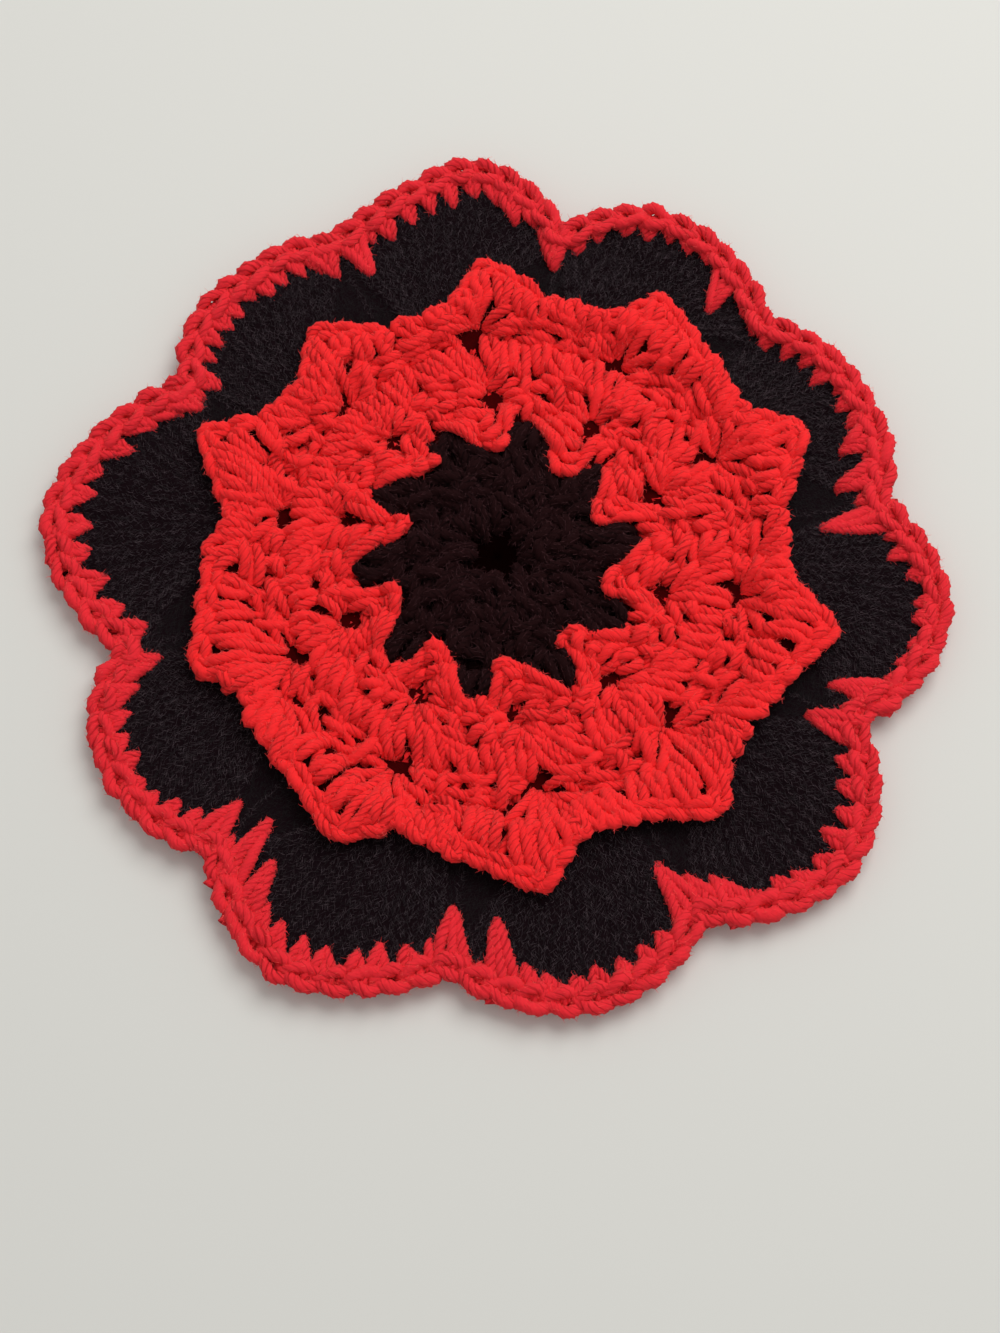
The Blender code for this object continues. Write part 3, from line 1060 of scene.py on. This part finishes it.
def petal_relief(angle, radius):
    """Soft ridges where the petals' tall stitches fan out, with lumps and creases under the nap."""
    share, out, way = fan_place(angle, radius)
    column = (share + 1) / 2 * PETAL_POSTS
    ridge = abs(sin(pi * column)) ** 0.6
    leaf = abs(sin(pi * (3 * out + 0.35 * sin(2.4 * int(column))))) ** 0.5
    fold = abs(sin(pi * (column + 0.6 * sin(column)) / 2.2)) ** 0.7 * (1 - 0.6 * out)
    place = spot(angle, radius)
    lump, grain = lumps(place, 0.3, 0.0), lumps(place, 0.9, 5.0)
    height = 0.9 * ridge * (0.5 + 0.5 * leaf) + 1.3 * fold + 0.5 * lump + 0.3 * grain - 1.0
    return max(LOWEST_RELIEF, height)


def petal_fans(sheet):
    """The stitches' direction at each place of the petals' sheet, with the strands counted across."""
    fans = np.empty_like(sheet)
    for spoke, row in np.ndindex(sheet.shape[:2]):
        share, out, way = fan_place(*polar(sheet[spoke, row]))
        fans[spoke, row] = (*way, (share + 1) * PETAL_POSTS)
    return fans


def petal_surface(angle, radius):
    """How far the petals' sheet rises above its own height."""
    return curl(angle, radius) + petal_relief(angle, radius)


def petal_stitches(petals, sheet):
    """The nap on the petals' upper side and the strands that show on their underside."""
    strands = Strands(step=1.1)
    for index in petals:
        first, last = petal_span(index)
        valley = petal_axis(index)[1]
        for turn, share in zip(between(first, last, PETAL_POSTS), between(-1, 1, PETAL_POSTS)):
            low_angle = valley + share * PETAL_FOOT_SPREAD
            base = spot(low_angle, seam(low_angle) + RANDOM.normal(1.0, 0.8))
            top = spot(turn, outline(turn, EDGING_WIDTH, NOTCH_EDGING_WIDTH) + RANDOM.normal(0.8, 0.5))
            Post(base, top, petal_under, bow=share * 2.5, foot=0.8, width=1.5).lay_back(strands)
        for turn in NOTCH_POSTS:
            base = spot(last + turn * 1.4, seam(last + turn))
            top = spot(last + turn * 0.6, outline(last + turn, EDGING_WIDTH, NOTCH_EDGING_WIDTH))
            Post(base, top, petal_under, foot=1.2, width=1.5).lay_back(strands)
    first, last = petal_span(petals[0])[0], petal_span(petals[-1])[1]
    spokes = np.arange(first, first + (last - first) % 360 + PETAL_STEP, PETAL_STEP)
    half = sheet[np.round(spokes / PETAL_STEP).astype(int) % len(sheet)]
    strands.nap(half, NAP_FIBRES, fans=petal_fans(half))
    return strands


# ------------ the edging

EDGING_STITCHES = 11        # on each petal
LOOP_WIDTH = 5.4            # of a longer loop, where it meets the rim
LOOP_LIFT = 0.6             # its tip lies on the petals
LOOP_END = 1.8              # its strands' middles end this far short of its tip
LOOP_RADIUS = 1.45
NEAR_LOOP = 1.6             # degrees from a longer loop within which a tooth is a low and narrow one
NEAR_LOOP_INSET = 1.6
TOOTH_BASE = 3.2            # a tooth's strands meet the rim this far inside the outline
TOOTH_LEAN = 1.4            # a tooth's tip lies clockwise from the middle of its base
TOOTH_DEPTHS = (8.5, 7.5, 6.7, 9.4, 8.9, 10.4, 9.0, 10.8, 9.3, 9.2)      # petal by petal, from the outline
PETALS_SHOW = 2.5           # how far the petals' stitches show between the teeth
# Longer loops, most of them near the notches: the angle of each tip and how far in from the outline it lies.
SPIKES = (
    (4.5, 19.5), (11.5, 14.5), (17.5, 13.0), (51, 15.0), (79.5, 13.5), (87, 13.5), (112.5, 15.0), (118, 12.5),
    (152, 12.5), (198.5, 15.0), (202, 12.5), (226.5, 15.5), (232, 20.0), (236.5, 18.0), (263.5, 16.0),
    (270, 19.0), (295.5, 17.5), (298.5, 14.0), (301.5, 13.5), (330.5, 14.5), (337, 16.0),
)
# One strand of an edging stitch: share of the way from its tip to the rim, share of its width, height.
TOOTH_STRAND = ((-0.12, 0.0, -1.3), (0.04, 0.10, 0.0), (0.45, 0.62, 0.7), (0.85, 1.0, 0.4), (1.15, 1.0, -0.8))


def edging_tooth(strands, turn, depth, pitch, offsets, tip=0.5, radius=1.3, lift=0.0):
    """Strands that spread from the tooth's tip to the rim, to the offsets given as shares of the pitch.

    tip is the yarn's thinness at the tip, and lift its height there above an ordinary tooth's.
    """
    side = spot(turn + 90, 1.0)
    outer = spot(turn, outline(turn) - TOOTH_BASE)
    inner = spot(turn, outline(turn) - depth) - side * TOOTH_LEAN
    for across in offsets:
        points = []
        for share, spread, height in TOOTH_STRAND:
            place = inner + (outer - inner) * share + side * across * spread * pitch
            rise = height + lift * (1 - share)
            points.append(raised(place, petal_under(place) + FRONT + rise))
        strands.lay(points, radius, squeeze=(tip, 1.0), ramp=4.0)


def edging_stitches():
    strands = Strands()
    chain(strands, outline, petal_under, EDGING_BRAID)
    chain(strands, outline, petal_under, UNDER_BRAID, below=True)
    for index, petal_depth in enumerate(TOOTH_DEPTHS):
        first, last = petal_span(index)
        turns = between(first, last, EDGING_STITCHES)
        pitch = radians(turns[1] - turns[0]) * outline(turns[EDGING_STITCHES // 2])
        for turn in turns:
            if any(abs(turned(angle - turn)) < NEAR_LOOP for angle, depth in SPIKES):
                edging_tooth(strands, turn, petal_depth - NEAR_LOOP_INSET, pitch, (-0.2, 0.2))
            else:
                depth = petal_depth + RANDOM.normal(0, 0.9)
                edging_tooth(strands, turn + RANDOM.normal(0, 0.25), depth, pitch, (-0.32, 0.0, 0.32))
    for angle, depth in SPIKES:
        lean = np.degrees(TOOTH_LEAN / (outline(angle) - depth))
        edging_tooth(strands, angle + lean, depth - LOOP_END, LOOP_WIDTH, (-0.5, 0.0, 0.5), tip=0.8,
                     radius=LOOP_RADIUS, lift=LOOP_LIFT)
    return strands


# ------------ ground under the stitches

GROUND_THICKNESS = 0.8


def ground(name, inner_at, outer_at, rise_at, material, height, rows=6, step=2.0):
    """A thin ring that lies inside the band, between its front and back strands.

    Returns the object, its widest diameter and its area in metres, and its upper side's grid of places.
    """
    angles = np.arange(0, 360, step)
    places, faces = [], []
    for angle in angles:
        inner, outer = inner_at(angle), outer_at(angle)
        for row in range(rows + 1):
            radius = inner + (outer - inner) * row / rows
            x, y = spot(angle, radius) + [HOLE_X, HOLE_Y]
            places.append((x * MM, y * MM, (height + rise_at(angle, radius)) * MM))
    for spoke in range(len(angles)):
        here, there = spoke * (rows + 1), (spoke + 1) % len(angles) * (rows + 1)
        for row in range(rows):
            faces.append((here + row, here + row + 1, there + row + 1, there + row))
    mesh = bpy.data.meshes.new(name)
    mesh.from_pydata(places, [], faces)
    mesh.shade_smooth()
    mesh.materials.append(material)
    made = add_object(name, mesh)
    skin = made.modifiers.new("thickness", "SOLIDIFY")
    skin.thickness = GROUND_THICKNESS * MM
    skin.offset = 0
    outers = np.array([outer_at(angle) for angle in angles])
    inners = np.array([inner_at(angle) for angle in angles])
    area = (outers ** 2 - inners ** 2).sum() / 2 * radians(step) * MM ** 2
    top = np.array(places).reshape(len(angles), rows + 1, 3) / MM - [HOLE_X, HOLE_Y, -GROUND_THICKNESS / 2]
    return made, outers.max() * 2 * MM, area, top


# ------------ camera, light and floor

FOCAL_PIXELS = 2000         # the photograph's focal length, in its own pixels
PHOTO_HEIGHT = 1333
CAMERA_DISTANCE = 0.445
CAMERA_TILT = 20.0          # from straight above
AIM_BELOW_HOLE = 0.0258     # the middle of the picture lies this far towards the camera from the hole
AIM_BESIDE_HOLE = 0.0009    # and this far to its right


def camera():
    data = bpy.data.cameras.new("camera")
    data.sensor_width = 36.0
    data.lens = FOCAL_PIXELS / PHOTO_HEIGHT * data.sensor_width
    data.clip_start = 0.01
    made = add_object("camera", data)
    tilt = radians(CAMERA_TILT)
    aim_y = HOLE_Y * MM - AIM_BELOW_HOLE
    aim_x = HOLE_X * MM + AIM_BESIDE_HOLE
    made.location = (aim_x, aim_y - CAMERA_DISTANCE * sin(tilt), CAMERA_DISTANCE * cos(tilt))
    made.rotation_euler = (tilt, 0, 0)
    bpy.context.scene.camera = made


def area_light(name, location, size, power, colour):
    data = bpy.data.lights.new(name, "AREA")
    data.size = size
    data.energy = power
    data.color = colour
    made = add_object(name, data)
    made.location = location
    made.rotation_euler = Vector(location).to_track_quat("Z", "Y").to_euler()


def surroundings():
    world = bpy.data.worlds.new("soft_light")
    bpy.context.scene.world = world
    world.use_nodes = True
    backdrop = world.node_tree.nodes["Background"]
    backdrop.inputs["Color"].default_value = (1.0, 0.985, 0.95, 1)
    backdrop.inputs["Strength"].default_value = 0.55
    area_light("window", (0.40, 0.50, 0.95), 0.8, 9.0, (1.0, 0.98, 0.95))
    bpy.ops.mesh.primitive_plane_add(size=3.0, location=(0, 0, 0))
    floor = bpy.context.object
    floor.name = "floor"
    material = bpy.data.materials.new("floor")
    material.use_nodes = True
    shader = material.node_tree.nodes["Principled BSDF"]
    shader.inputs["Base Color"].default_value = (0.665, 0.67, 0.65, 1)
    shader.inputs["Roughness"].default_value = 0.9
    floor.data.materials.append(material)
    bpy.context.scene.view_settings.view_transform = "Standard"


# ------------ the whole

def band(node, base, pieces):
    """Hands one band of yarn over: its ground is the sheet, and its stitches go with it."""
    for piece in [base, *pieces]:
        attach(piece, "root")
        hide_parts(node)


RED_SHEEN = (1.0, 0.30, 0.25)
GROUND_MARGINS = (0.2, 3.0, 2.0)    # how far the grounds of centre, star and edging end from their outlines
EDGING_OVERLAP = 2.5        # how far the edging's ground reaches in under its teeth


def main():
    """Builds the bands from the centre outwards."""
    camera()
    surroundings()
    centre_margin, star_margin, edging_margin = GROUND_MARGINS
    # The second colour of each yarn is painted shade in the grooves between its plies.
    red = yarn_material("red_yarn", (0.92, 0.021, 0.025), (0.40, 0.004, 0.006), 0.15, RED_SHEEN)
    edging_red = yarn_material("edging_red_yarn", (0.80, 0.022, 0.035), (0.38, 0.004, 0.009), 0.15, RED_SHEEN)
    red_fibre = fibre_material("red_fibre", (0.60, 0.010, 0.012), (0.98, 0.10, 0.09))
    # Painted shade: a dark red sheet under the star's and edging's stitches, for the shade in their gaps and
    # holes.
    red_shade_ground = ground_material("red_shade_ground", (0.05, 0.0015, 0.002))
    black = yarn_material("black_yarn", (0.009, 0.0045, 0.006), (0.0045, 0.002, 0.0028), 0.09,
                          (0.70, 0.38, 0.48))
    black_fibre = fibre_material("black_fibre", (0.006, 0.004, 0.005), (0.064, 0.045, 0.054), shine=0.15)
    petal_black = ground_material("petal_ground", (0.0095, 0.0050, 0.0068))
    centre_black = yarn_material("centre_black_yarn", (0.0120, 0.0030, 0.0036), (0.002, 0.0003, 0.0004), 0.02,
                                 (0.90, 0.30, 0.34), shine=0.05)
    centre_fibre = fibre_material("centre_fibre", (0.0040, 0.0008, 0.0010), (0.080, 0.031, 0.036), shine=0.05)
    # Painted shade: the centre's sheet is darker than its yarn, for the shade between its strands and in its
    # hole.
    centre_shade_material = ground_material("centre_shade_ground", (0.003, 0.0005, 0.0005))

    base, width, area, top = ground(
        "centre_shade_ground", lambda angle: 0.1, lambda angle: straight(CENTRE_CORNERS, angle) + centre_margin,
        lambda angle, radius: centre_under(spot(angle, radius)), centre_shade_material, height=2.6, rows=14)
    stitches = centre_stitches(top).piece("centre_stitches", centre_black, centre_fibre)
    band("centre_round", base, [stitches])

    base, width, area, top = ground(
        "star_ground", lambda angle: straight(CENTRE_CORNERS, angle) + 0.3,
        lambda angle: straight(STAR_CORNERS, angle) - star_margin, star_rise, red_shade_ground, height=1.6)
    band("star_round", base, [
        star_inner_stitches().piece("star_inner_stitches", red, red_fibre),
        star_outer_stitches().piece("star_outer_stitches", red, red_fibre),
        star_back_stitches().piece("star_back_stitches", red, red_fibre)])

    base, width, area, top = ground(
        "petal_ground", seam,
        lambda angle: outline(angle, EDGING_WIDTH - PETALS_SHOW, NOTCH_EDGING_WIDTH - PETALS_SHOW),
        petal_surface, petal_black, height=3.1, rows=PETAL_ROWS, step=PETAL_STEP)
    band("petal_round", base, [
        petal_stitches(range(0, 5), top).piece("petal_stitches_upper", black, black_fibre),
        petal_stitches(range(5, 10), top).piece("petal_stitches_lower", black, black_fibre)])

    base, width, area, top = ground(
        "edging_ground",
        lambda angle: outline(angle, EDGING_WIDTH + EDGING_OVERLAP, NOTCH_EDGING_WIDTH + EDGING_OVERLAP),
        lambda angle: outline(angle) - edging_margin, curl, red_shade_ground, height=2.2, rows=3)
    stitches = edging_stitches().piece("edging_stitches", edging_red, red_fibre)
    band("edging_round", base, [stitches])


main()
